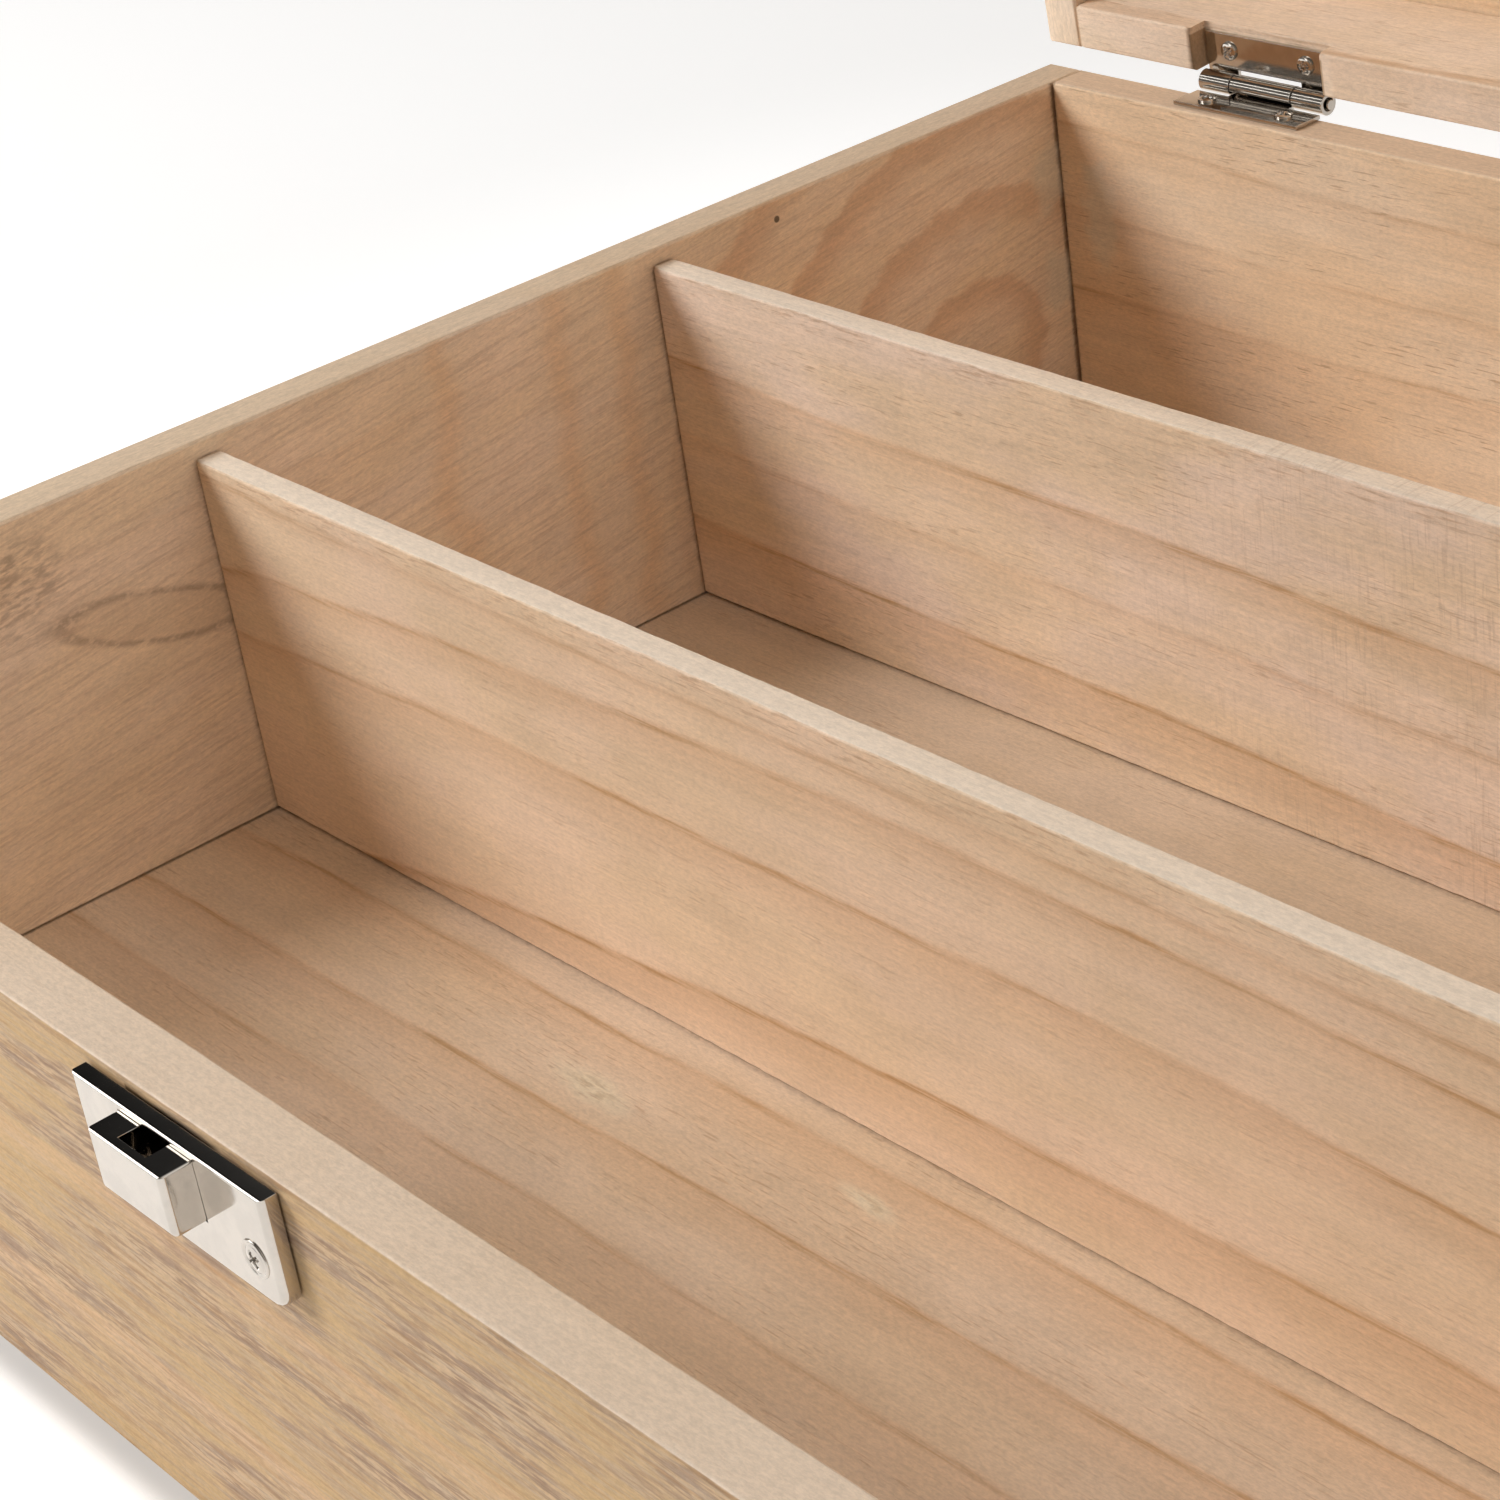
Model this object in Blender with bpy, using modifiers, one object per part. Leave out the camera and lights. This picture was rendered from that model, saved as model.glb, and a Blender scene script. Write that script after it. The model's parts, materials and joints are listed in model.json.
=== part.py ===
"""A wooden box with three long compartments, a hinged lid and a press latch.

Metres, +Z up, the front towards -Y. The origin is the centre of the base's underside. The lid is drawn
closed, as children of an empty on the hinge axis, and the empty then turns it to its open rest position.
"""
import math

import bmesh
import bpy
from mathutils import Matrix, Vector

# --- Driving dimensions ---------------------------------------------------------------------------------

GAP = 0.0003                   # between pieces that touch

# Boards
INNER_LENGTH = 0.320           # inside, along X
FRONT_COMPARTMENT = 0.0935     # inside widths, along Y
MIDDLE_COMPARTMENT = 0.0895
REAR_COMPARTMENT = 0.0955
WALL = 0.0085
DIVIDER = 0.005
PANEL = 0.0025
BASE_INNER_DEPTH = 0.0675      # top of the floor panel to the rim
LID_INNER_DEPTH = 0.027
DIVIDER_DROP = 0.003           # rim to the dividers' tops
RABBET = 0.004                 # how far the panels reach into the boards
CORNER_ROUND = 0.0006
UNDERSIDE_ROUND = 0.0015       # the base's lowest edges are worn rounder than the rest
LID_TOP_ROUND = 0.0008

# Hinges
HINGE_OFFSET = 0.1144          # hinge centre from the middle of the box
HINGE_LENGTH = 0.030
LEAF_REACH = 0.0092            # hinge axis to the leaf's free edge
SHEET = 0.0008
LEAF_SEAT = 0.0001             # between a leaf and the wood under it
BARREL_RADIUS = 0.0021
AXIS_BEHIND = 0.00215          # hinge axis behind the back board's outer face
KNUCKLE_SHARE = 0.25           # each of the upper leaf's two knuckles, as a share of the length
NOTCH_SIDE_GAP = 0.0007
PIN_RADIUS = 0.0009
PIN_PROUD = 0.0006
HINGE_SCREW_SPACING = 0.0186
HINGE_SCREW_REACH = 0.0060     # hinge axis to the screws
OPEN_ANGLE = math.radians(86)  # the lid at rest, from closed

# Latch
PAN_LENGTH = 0.0388
PAN_HEIGHT = 0.0150
PAN_FRONT = 0.0025             # the pan's face from the board's face
PAN_SHEET = 0.0007
PAN_DROP = 0.0012              # rim to the pan's nearest edge
PAN_ROUND = 0.0025
LATCH_SCREW_SPACING = 0.0306
LATCH_SCREW_DROP = 0.0105      # rim to the screws
BUTTON_OFFSET = -0.0017        # the button sits a little left of the pan's centre
BUTTON_LENGTH = 0.0152
BUTTON_HEIGHT = 0.0079
BUTTON_DROP = 0.0023           # rim to the button's top
BUTTON_FRONT = 0.0066          # the button's face from the board's face
BUTTON_ROUND = 0.0004
BUTTON_TRAVEL = 0.0012
FLANGE = 0.0012                # the button's flange beyond its sides and bottom
FLANGE_SHEET = 0.0008
SLOT_LENGTH = 0.0058
SLOT_DEPTH = 0.0069
SLOT_FRONT_WALL = 0.0013
SLOT_WIDTH = 0.0032
SPRING_ROOM = 0.0031           # left for the spring behind the board's face when the button is pressed
SPRING_RADIUS = 0.0017
SPRING_WIRE = 0.00025
SPRING_TURNS = 4
SPRING_POINTS_PER_TURN = 10

# Catch on the lid
CATCH_HEIGHT = 0.0115
CATCH_SCREW_RISE = 0.0070      # lid rim to the catch's screws
TONGUE_LENGTH = 0.0050
TONGUE_THICKNESS = 0.0009
TONGUE_FRONT = 0.0038          # the tongue's front from the board's face
TONGUE_REACH = 0.0081          # below the lid's rim
BOSS_HEIGHT = 0.0060

# Screws
SCREW_HEAD_RADIUS = 0.0018
SCREW_HEAD_HEIGHT = 0.0007
SCREW_SHANK_RADIUS = 0.0009
SCREW_SHANK_LENGTH = 0.0055
SCREW_HOLE_RADIUS = SCREW_SHANK_RADIUS + GAP
SCREW_SIDES = 24
SCREW_SEAT = 0.00005           # under the head
CROSS_LENGTH = 0.0020
CROSS_WIDTH = 0.0005
CROSS_DEPTH = 0.0004
CROSS_TAPER = 0.8              # an arm's width at its end, as a share of its root

# --- Derived levels and places --------------------------------------------------------------------------

INNER_WIDTH = FRONT_COMPARTMENT + MIDDLE_COMPARTMENT + REAR_COMPARTMENT + 2 * DIVIDER
OUTER_LENGTH = INNER_LENGTH + 2 * WALL
OUTER_WIDTH = INNER_WIDTH + 2 * WALL
FRONT_FACE = -OUTER_WIDTH / 2
BACK_FACE = OUTER_WIDTH / 2
RIM = PANEL + BASE_INNER_DEPTH
LID_RIM = RIM + GAP
LID_TOP = LID_RIM + LID_INNER_DEPTH + PANEL
POCKET_DEPTH = BUTTON_TRAVEL + SPRING_ROOM
AXIS_Y = BACK_FACE + AXIS_BEHIND
AXIS_Z = RIM + LEAF_SEAT + BARREL_RADIUS
NOTCH_TOP = AXIS_Z + BARREL_RADIUS + LEAF_SEAT
KNUCKLE = HINGE_LENGTH * KNUCKLE_SHARE

WOOD = ((0.80, 0.62, 0.43, 1.0), 0.65, 0.0)
PANEL_WOOD = ((0.76, 0.56, 0.37, 1.0), 0.65, 0.0)
NICKEL = ((0.78, 0.76, 0.73, 1.0), 0.18, 1.0)
SPRING_STEEL = ((0.55, 0.55, 0.56, 1.0), 0.35, 1.0)


# --- Helpers --------------------------------------------------------------------------------------------

def clear_scene():
    for obj in list(bpy.data.objects):
        bpy.data.objects.remove(obj, do_unlink=True)


def make_collection(name):
    collection = bpy.data.collections.new(name)
    bpy.context.scene.collection.children.link(collection)
    return collection


def make_material(name, look):
    colour, roughness, metallic = look
    material = bpy.data.materials.new(name)
    material.use_nodes = True
    shader = material.node_tree.nodes["Principled BSDF"]
    shader.inputs["Base Color"].default_value = colour
    shader.inputs["Roughness"].default_value = roughness
    shader.inputs["Metallic"].default_value = metallic
    return material


def place(obj, centre, parent):
    """Puts obj at a place given in the box's frame, with the lid closed."""
    obj.parent = parent
    obj.location = Vector(centre) - (parent.location if parent else Vector())


def add_part(name, data, centre, look, parent=None):
    obj = bpy.data.objects.new(name, data)
    parts.objects.link(obj)
    place(obj, centre, parent)
    data.materials.clear()
    data.materials.append(make_material(name, look))
    return obj


def add_cutter(target, mesh, centre, parent=None, operation="DIFFERENCE"):
    cutter = bpy.data.objects.new(mesh.name, mesh)
    cutters.objects.link(cutter)
    place(cutter, centre, parent)
    cutter.hide_render = True
    cutter.display_type = "WIRE"
    boolean = target.modifiers.new(mesh.name, "BOOLEAN")
    boolean.operation = operation
    boolean.solver = "EXACT"
    boolean.object = cutter


def middle(low, high):
    return (Vector(low) + Vector(high)) / 2


def box_mesh(name, low, high):
    """A box of these two corners, centred on its own origin."""
    size = Vector(high) - Vector(low)
    mesh = bpy.data.meshes.new(name)
    bm = bmesh.new()
    bmesh.ops.create_cube(bm, size=1.0, matrix=Matrix.Diagonal((*size, 1.0)))
    bm.to_mesh(mesh)
    bm.free()
    return mesh


def cylinder_mesh(name, radius, length, sides, axis):
    """A cylinder along axis, centred on its own origin."""
    turn = Vector((0, 0, 1)).rotation_difference(Vector(axis)).to_matrix().to_4x4()
    mesh = bpy.data.meshes.new(name)
    bm = bmesh.new()
    bmesh.ops.create_cone(bm, cap_ends=True, segments=sides, radius1=radius, radius2=radius,
                          depth=length, matrix=turn)
    bm.to_mesh(mesh)
    bm.free()
    return mesh


def finished_mesh(obj):
    """The evaluated mesh of a helper object, which is then removed."""
    depsgraph = bpy.context.evaluated_depsgraph_get()
    mesh = bpy.data.meshes.new_from_object(obj.evaluated_get(depsgraph))
    bpy.data.objects.remove(obj, do_unlink=True)
    return mesh


def outline_mesh(name, outline, thickness, matrix):
    """A flat outline (counter-clockwise points) extruded by thickness about its own plane."""
    curve = bpy.data.curves.new(name, "CURVE")
    curve.dimensions = "2D"
    curve.fill_mode = "BOTH"
    curve.extrude = thickness / 2
    spline = curve.splines.new("POLY")
    spline.points.add(len(outline) - 1)
    for point, (u, v) in zip(spline.points, outline):
        point.co = (u, v, 0, 1)
    spline.use_cyclic_u = True
    helper = bpy.data.objects.new(name, curve)
    cutters.objects.link(helper)
    mesh = finished_mesh(helper)
    bm = bmesh.new()
    bm.from_mesh(mesh)
    bmesh.ops.remove_doubles(bm, verts=bm.verts, dist=1e-7)
    bmesh.ops.recalc_face_normals(bm, faces=bm.faces)
    bm.to_mesh(mesh)
    bm.free()
    mesh.name = name
    mesh.transform(matrix)
    return mesh


# An outline drawn in (y, z) and extruded along X, and one drawn in (x, z) and extruded along Y
ALONG_X = Matrix(((0, 0, 1, 0), (1, 0, 0, 0), (0, 1, 0, 0), (0, 0, 0, 1)))
ALONG_Y = Matrix(((1, 0, 0, 0), (0, 0, -1, 0), (0, 1, 0, 0), (0, 0, 0, 1)))


def arc(centre, radius, start, end, steps):
    angles = [math.radians(start + (end - start) * i / steps) for i in range(steps + 1)]
    return [(centre[0] + radius * math.cos(a), centre[1] + radius * math.sin(a)) for a in angles]


# --- Boards ---------------------------------------------------------------------------------------------

def on_plane(value, plane):
    return abs(value - plane) < 1e-6


def edge_round(point, along, open_end, closed_end, closed_round):
    """How far the edge of a board with this middle and direction is rounded. Edges in a joint stay sharp."""
    x, y, z = point
    outer_x = on_plane(abs(x), OUTER_LENGTH / 2)
    outer_y = on_plane(abs(y), OUTER_WIDTH / 2)
    if along == "Z":
        return CORNER_ROUND if outer_x and outer_y else 0.0
    outer = outer_y if along == "X" else outer_x
    inner = on_plane(abs(y), INNER_WIDTH / 2) if along == "X" else on_plane(abs(x), INNER_LENGTH / 2)
    if on_plane(z, open_end) and (outer or inner):
        return CORNER_ROUND
    if on_plane(z, closed_end) and outer:
        return closed_round
    return 0.0


def round_open_edges(board, centre, open_end, closed_end, closed_round):
    """Rounds a board where it stays free: the frame's outer corners, its rim and its closed side."""
    bm = bmesh.new()
    bm.from_mesh(board.data)
    weight = bm.edges.layers.float.new("bevel_weight_edge")
    for edge in bm.edges:
        start, end = (vert.co + Vector(centre) for vert in edge.verts)
        lengths = [abs(value) for value in end - start]
        along = "XYZ"[lengths.index(max(lengths))]
        radius = edge_round((start + end) / 2, along, open_end, closed_end, closed_round)
        edge[weight] = radius / closed_round
    bm.to_mesh(board.data)
    bm.free()
    bevel = board.modifiers.new("Rounded edges", "BEVEL")
    bevel.width = closed_round
    bevel.segments = 2
    bevel.limit_method = "WEIGHT"


def add_frame(prefix, open_end, closed_end, closed_round, rabbet, parent=None):
    """Four boards, butt joined: the side boards run the full depth, the others stand between them."""
    bottom, top = sorted((open_end, closed_end))
    side = OUTER_LENGTH / 2
    inner = INNER_LENGTH / 2
    boards = {
        "left_side": ((-side, FRONT_FACE, bottom), (-inner, BACK_FACE, top)),
        "right_side": ((inner, FRONT_FACE, bottom), (side, BACK_FACE, top)),
        "front": ((-inner + GAP, FRONT_FACE, bottom), (inner - GAP, FRONT_FACE + WALL, top)),
        "back": ((-inner + GAP, BACK_FACE - WALL, bottom), (inner - GAP, BACK_FACE, top)),
    }
    made = {}
    for side_name, (low, high) in boards.items():
        name = f"{prefix}_{side_name}"
        centre = middle(low, high)
        board = add_part(name, box_mesh(name, low, high), centre, WOOD, parent)
        round_open_edges(board, centre, open_end, closed_end, closed_round)
        add_cutter(board, box_mesh(f"{name}_rabbet", *rabbet), middle(*rabbet), parent)
        made[side_name] = board
    return made


def panel_corners(low_z, high_z, grown=0.0):
    reach_x = INNER_LENGTH / 2 + RABBET + grown
    reach_y = INNER_WIDTH / 2 + RABBET + grown
    return (-reach_x, -reach_y, low_z), (reach_x, reach_y, high_z)


def add_base():
    rabbet = panel_corners(-0.001, PANEL + GAP, GAP)
    boards = add_frame("base", RIM, 0.0, UNDERSIDE_ROUND, rabbet)
    low, high = panel_corners(0.0, PANEL)
    add_part("floor_panel", box_mesh("floor_panel", low, high), middle(low, high), PANEL_WOOD)
    first = -INNER_WIDTH / 2 + FRONT_COMPARTMENT
    second = first + DIVIDER + MIDDLE_COMPARTMENT
    for name, y in (("front_divider", first), ("rear_divider", second)):
        low = (-INNER_LENGTH / 2 + GAP, y, PANEL + GAP)
        high = (INNER_LENGTH / 2 - GAP, y + DIVIDER, RIM - DIVIDER_DROP)
        add_part(name, box_mesh(name, low, high), middle(low, high), WOOD)
    return boards


def add_lid(lid_axis):
    rabbet = panel_corners(LID_TOP - PANEL - GAP, LID_TOP + 0.001, GAP)
    boards = add_frame("lid", LID_RIM, LID_TOP, LID_TOP_ROUND, rabbet, lid_axis)
    low, high = panel_corners(LID_TOP - PANEL, LID_TOP)
    add_part("lid_panel", box_mesh("lid_panel", low, high), middle(low, high), PANEL_WOOD, lid_axis)
    return boards


# --- Screws ---------------------------------------------------------------------------------------------

def screw_profile():
    """Half of a round-headed screw, from the top of its head down to its point."""
    dome_radius = (SCREW_HEAD_RADIUS ** 2 + SCREW_HEAD_HEIGHT ** 2) / (2 * SCREW_HEAD_HEIGHT)
    half_angle = math.degrees(math.asin(SCREW_HEAD_RADIUS / dome_radius))
    dome = arc((0, SCREW_HEAD_HEIGHT - dome_radius), dome_radius, 90, 90 - half_angle, 5)
    taper = SCREW_SHANK_LENGTH * 0.7
    shank = [(SCREW_SHANK_RADIUS, 0), (SCREW_SHANK_RADIUS, -taper), (0, -SCREW_SHANK_LENGTH)]
    return [(0.0, dome[0][1])] + dome[1:] + shank


def cross_outline():
    reach = CROSS_LENGTH / 2
    root = CROSS_WIDTH / 2
    end = root * CROSS_TAPER
    quarter = [(reach, -end), (reach, end), (root, root)]
    points = []
    for turn in range(4):
        cosine, sine = round(math.cos(turn * math.pi / 2)), round(math.sin(turn * math.pi / 2))
        points += [(u * cosine - v * sine, u * sine + v * cosine) for u, v in quarter]
    return points


def screw_mesh():
    """The screw with its cross recess: the underside of its head is at z = 0."""
    profile = screw_profile()
    mesh = bpy.data.meshes.new("screw")
    edges = [(i, i + 1) for i in range(len(profile) - 1)]
    mesh.from_pydata([(r, 0, z) for r, z in profile], edges, [])
    helper = bpy.data.objects.new("screw", mesh)
    cutters.objects.link(helper)
    turned = helper.modifiers.new("Turned", "SCREW")
    turned.axis = "Z"
    turned.steps = SCREW_SIDES
    turned.render_steps = SCREW_SIDES
    turned.use_merge_vertices = True
    turned.merge_threshold = 0.00001
    turned.use_smooth_shade = True
    cross = outline_mesh("screw_cross", cross_outline(), 2 * CROSS_DEPTH, Matrix.Identity(4))
    recess = bpy.data.objects.new("screw_cross", cross)
    recess.location = (0, 0, SCREW_HEAD_HEIGHT)
    cutters.objects.link(recess)
    boolean = helper.modifiers.new("Cross", "BOOLEAN")
    boolean.operation = "DIFFERENCE"
    boolean.solver = "EXACT"
    boolean.object = recess
    made = finished_mesh(helper)
    bpy.data.objects.remove(recess, do_unlink=True)
    made.shade_smooth()
    made.set_sharp_from_angle(angle=math.radians(35))
    return made


def add_screw(name, seat, outward, board, fitting, parent=None):
    """A screw whose head stands on the fitting at seat and points outward, with the holes it needs."""
    outward = Vector(outward)
    turn = Vector((0, 0, 1)).rotation_difference(outward).to_matrix().to_4x4()
    mesh = shared_screw.copy()
    mesh.transform(turn)
    add_part(name, mesh, Vector(seat) + outward * SCREW_SEAT, NICKEL, parent)
    depth = SCREW_SHANK_LENGTH + GAP
    for target in (board, fitting):
        hole = cylinder_mesh(f"{name}_hole", SCREW_HOLE_RADIUS, 2 * depth, 16, outward)
        add_cutter(target, hole, seat, parent)


# --- Hinges ---------------------------------------------------------------------------------------------

def leaf_outline():
    """Section of a leaf in (y, z) about the hinge axis: a flat plate whose end is rolled round the pin."""
    bore = BARREL_RADIUS - SHEET
    outer = arc((0, 0), BARREL_RADIUS, -90, 195, 19)
    inner = arc((0, 0), bore, 195, -90, 19)
    return [(-LEAF_REACH, -BARREL_RADIUS)] + outer + inner + [(-LEAF_REACH, -bore)]


def add_leaf(name, centre_x, flip, clear_spans, parent=None):
    """A leaf whose plate is below the axis, or above it when flipped; clear_spans are cut from its barrel."""
    mesh = outline_mesh(name, leaf_outline(), HINGE_LENGTH, ALONG_X)
    if flip:
        mesh.transform(Matrix.Rotation(math.pi, 4, "Y"))
    mesh.shade_smooth()
    mesh.set_sharp_from_angle(angle=math.radians(35))
    leaf = add_part(name, mesh, (centre_x, AXIS_Y, AXIS_Z), NICKEL, parent)
    reach = BARREL_RADIUS + GAP
    for start, end in clear_spans:
        low = (centre_x + start, AXIS_Y - reach, AXIS_Z - reach)
        high = (centre_x + end, AXIS_Y + reach, AXIS_Z + reach)
        add_cutter(leaf, box_mesh(f"{name}_clear", low, high), middle(low, high), parent)
    return leaf


def add_hinge(side, centre_x, base_back, lid_back, lid_axis):
    half = HINGE_LENGTH / 2
    split = half - KNUCKLE
    past_end = half + 0.001
    low = (centre_x - half - NOTCH_SIDE_GAP, BACK_FACE - WALL - 0.001, LID_RIM - 0.001)
    high = (centre_x + half + NOTCH_SIDE_GAP, BACK_FACE + 0.001, NOTCH_TOP)
    add_cutter(lid_back, box_mesh(f"{side}_hinge_notch", low, high), middle(low, high), lid_axis)
    lower = add_leaf(f"{side}_hinge_lower_leaf", centre_x, False,
                     [(-past_end, -split + GAP / 2), (split - GAP / 2, past_end)])
    upper = add_leaf(f"{side}_hinge_upper_leaf", centre_x, True,
                     [(-split - GAP / 2, split + GAP / 2)], lid_axis)
    pin = cylinder_mesh(f"{side}_hinge_pin", PIN_RADIUS, HINGE_LENGTH + 2 * PIN_PROUD, 24, (1, 0, 0))
    pin.shade_smooth()
    pin.set_sharp_from_angle(angle=math.radians(35))
    add_part(pin.name, pin, (centre_x, AXIS_Y, AXIS_Z), NICKEL)
    inner_face = BARREL_RADIUS - SHEET
    for number, direction in ((1, -1), (2, 1)):
        x = centre_x + direction * HINGE_SCREW_SPACING / 2
        y = AXIS_Y - HINGE_SCREW_REACH
        add_screw(f"{side}_hinge_lower_screw_{number}", (x, y, AXIS_Z - inner_face), (0, 0, 1),
                  base_back, lower)
        add_screw(f"{side}_hinge_upper_screw_{number}", (x, y, AXIS_Z + inner_face), (0, 0, -1),
                  lid_back, upper, lid_axis)


# --- Latch and catch ------------------------------------------------------------------------------------

def pan_outline(length, height, corner, round_side):
    """A plate in (x, z) about its centre, with its two lower (-1) or upper (+1) corners rounded."""
    half, rise = length / 2, height / 2
    if round_side < 0:
        square = [(half, rise), (-half, rise)]
        return square + arc((-half + corner, -rise + corner), corner, 180, 270, 5) \
            + arc((half - corner, -rise + corner), corner, 270, 360, 5)
    square = [(-half, -rise), (half, -rise)]
    return square + arc((half - corner, rise - corner), corner, 0, 90, 5) \
        + arc((-half + corner, rise - corner), corner, 90, 180, 5)


def add_pan(name, bottom, top, round_side, parent=None):
    """A shallow nickel pan, open towards the board it is screwed to."""
    height = top - bottom
    depth = PAN_FRONT - GAP
    centre_z = (bottom + top) / 2
    outer = outline_mesh(name, pan_outline(PAN_LENGTH, height, PAN_ROUND, round_side), depth, ALONG_Y)
    pan = add_part(name, outer, (0, FRONT_FACE - GAP - depth / 2, centre_z), NICKEL, parent)
    inside = pan_outline(PAN_LENGTH - 2 * PAN_SHEET, height - 2 * PAN_SHEET,
                         PAN_ROUND - PAN_SHEET, round_side)
    hollow = outline_mesh(f"{name}_hollow", inside, 2 * (depth - PAN_SHEET), ALONG_Y)
    add_cutter(pan, hollow, (0, FRONT_FACE - GAP, centre_z), parent)
    return pan


def add_latch(base_front):
    top = RIM - PAN_DROP
    pan = add_pan("latch_plate", top - PAN_HEIGHT, top, -1)
    button_top = RIM - BUTTON_DROP
    button_bottom = button_top - BUTTON_HEIGHT
    left = BUTTON_OFFSET - BUTTON_LENGTH / 2
    right = BUTTON_OFFSET + BUTTON_LENGTH / 2
    window = ((left - GAP, FRONT_FACE - PAN_FRONT - 0.001, button_bottom - GAP),
              (right + GAP, FRONT_FACE, button_top + GAP))
    add_cutter(pan, box_mesh("latch_window", *window), middle(*window))
    pocket_side = FLANGE + 2 * GAP
    pocket = ((left - pocket_side, FRONT_FACE - 0.001, button_bottom - pocket_side),
              (right + pocket_side, FRONT_FACE + POCKET_DEPTH, button_top + GAP))
    add_cutter(base_front, box_mesh("latch_pocket", *pocket), middle(*pocket))
    add_button(left, right, button_bottom, button_top)
    for number, x in ((1, -LATCH_SCREW_SPACING / 2), (2, LATCH_SCREW_SPACING / 2)):
        seat = (x, FRONT_FACE - PAN_FRONT, RIM - LATCH_SCREW_DROP)
        add_screw(f"latch_screw_{number}", seat, (0, -1, 0), base_front, pan)
    add_spring((button_bottom + button_top) / 2)


def flange_back():
    """Back of the button's flange, which rests inside the pan's face."""
    return FRONT_FACE - PAN_FRONT + PAN_SHEET + GAP + FLANGE_SHEET


def add_button(left, right, bottom, top):
    """The button: a block with a slot in its top, and a flange behind the latch plate."""
    back = flange_back()
    low = (left, FRONT_FACE - BUTTON_FRONT, bottom)
    high = (right, back - FLANGE_SHEET / 2, top)
    button = add_part("latch_button", box_mesh("latch_button", low, high), middle(low, high), NICKEL)
    bevel = button.modifiers.new("Rounded edges", "BEVEL")
    bevel.width = BUTTON_ROUND
    bevel.segments = 2
    low = (left - FLANGE, back - FLANGE_SHEET, bottom - FLANGE)
    high = (right + FLANGE, back, top - GAP)
    add_cutter(button, box_mesh("latch_button_flange", low, high), middle(low, high), operation="UNION")
    slot_front = FRONT_FACE - BUTTON_FRONT + SLOT_FRONT_WALL
    low = (BUTTON_OFFSET - SLOT_LENGTH / 2, slot_front, top - SLOT_DEPTH)
    high = (BUTTON_OFFSET + SLOT_LENGTH / 2, slot_front + SLOT_WIDTH, top + 0.001)
    add_cutter(button, box_mesh("latch_button_slot", low, high), middle(low, high))


def add_spring(centre_z):
    """A coil between the button's flange and the bottom of the pocket."""
    start = flange_back() + GAP + SPRING_WIRE
    length = FRONT_FACE + POCKET_DEPTH - GAP - SPRING_WIRE - start
    count = SPRING_TURNS * SPRING_POINTS_PER_TURN
    curve = bpy.data.curves.new("latch_spring", "CURVE")
    curve.dimensions = "3D"
    curve.bevel_depth = SPRING_WIRE
    curve.bevel_resolution = 2
    curve.use_fill_caps = True
    spline = curve.splines.new("POLY")
    spline.points.add(count)
    for i, point in enumerate(spline.points):
        angle = 2 * math.pi * i / SPRING_POINTS_PER_TURN
        point.co = (SPRING_RADIUS * math.cos(angle), length * i / count, SPRING_RADIUS * math.sin(angle), 1)
    add_part("latch_spring", curve, (BUTTON_OFFSET, start, centre_z), SPRING_STEEL)


def add_catch(lid_front, lid_axis):
    """The lid's plate, with the tongue that drops into the button's slot."""
    bottom = LID_RIM + PAN_DROP
    pan = add_pan("catch_plate", bottom, bottom + CATCH_HEIGHT, 1, lid_axis)
    face = FRONT_FACE - PAN_FRONT + GAP
    front = FRONT_FACE - TONGUE_FRONT
    back = front + TONGUE_THICKNESS
    tip = LID_RIM - TONGUE_REACH
    outline = [(front, tip), (back, tip), (back, bottom + GAP), (face, bottom + GAP),
               (face, bottom + BOSS_HEIGHT), (front, bottom + BOSS_HEIGHT)]
    centre = Vector((BUTTON_OFFSET, (front + back) / 2, bottom))
    local = [(y - centre.y, z - centre.z) for y, z in outline]
    tongue = outline_mesh("catch_tongue", local, TONGUE_LENGTH, ALONG_X)
    add_cutter(pan, tongue, centre, lid_axis, "UNION")
    for number, x in ((1, -LATCH_SCREW_SPACING / 2), (2, LATCH_SCREW_SPACING / 2)):
        seat = (x, FRONT_FACE - PAN_FRONT, LID_RIM + CATCH_SCREW_RISE)
        add_screw(f"catch_screw_{number}", seat, (0, -1, 0), lid_front, pan, lid_axis)


# --- The box --------------------------------------------------------------------------------------------

clear_scene()
parts = make_collection("compartment_box")
cutters = make_collection("cutters")
shared_screw = screw_mesh()

lid_axis = bpy.data.objects.new("lid_axis", None)
parts.objects.link(lid_axis)
lid_axis.location = (0, AXIS_Y, AXIS_Z)

base = add_base()
lid = add_lid(lid_axis)
add_hinge("left", -HINGE_OFFSET, base["back"], lid["back"], lid_axis)
add_hinge("right", HINGE_OFFSET, base["back"], lid["back"], lid_axis)
add_latch(base["front"])
add_catch(lid["front"], lid_axis)

lid_axis.rotation_euler = (-OPEN_ANGLE, 0, 0)
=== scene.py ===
"""The looks of a wooden compartment box: bare pale boards, nickel hinges and a press latch.

Metres, +Z up, the front towards -Y. Every detailed piece is drawn where the CAD node it stands for lies.
The lid's pieces are drawn with the lid closed, and their objects carry the turn to the open rest position,
so that a board's own coordinates always run along, across and through it.
"""
import json
import math

import bmesh
import bpy
from mathutils import Matrix, Vector, noise


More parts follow.
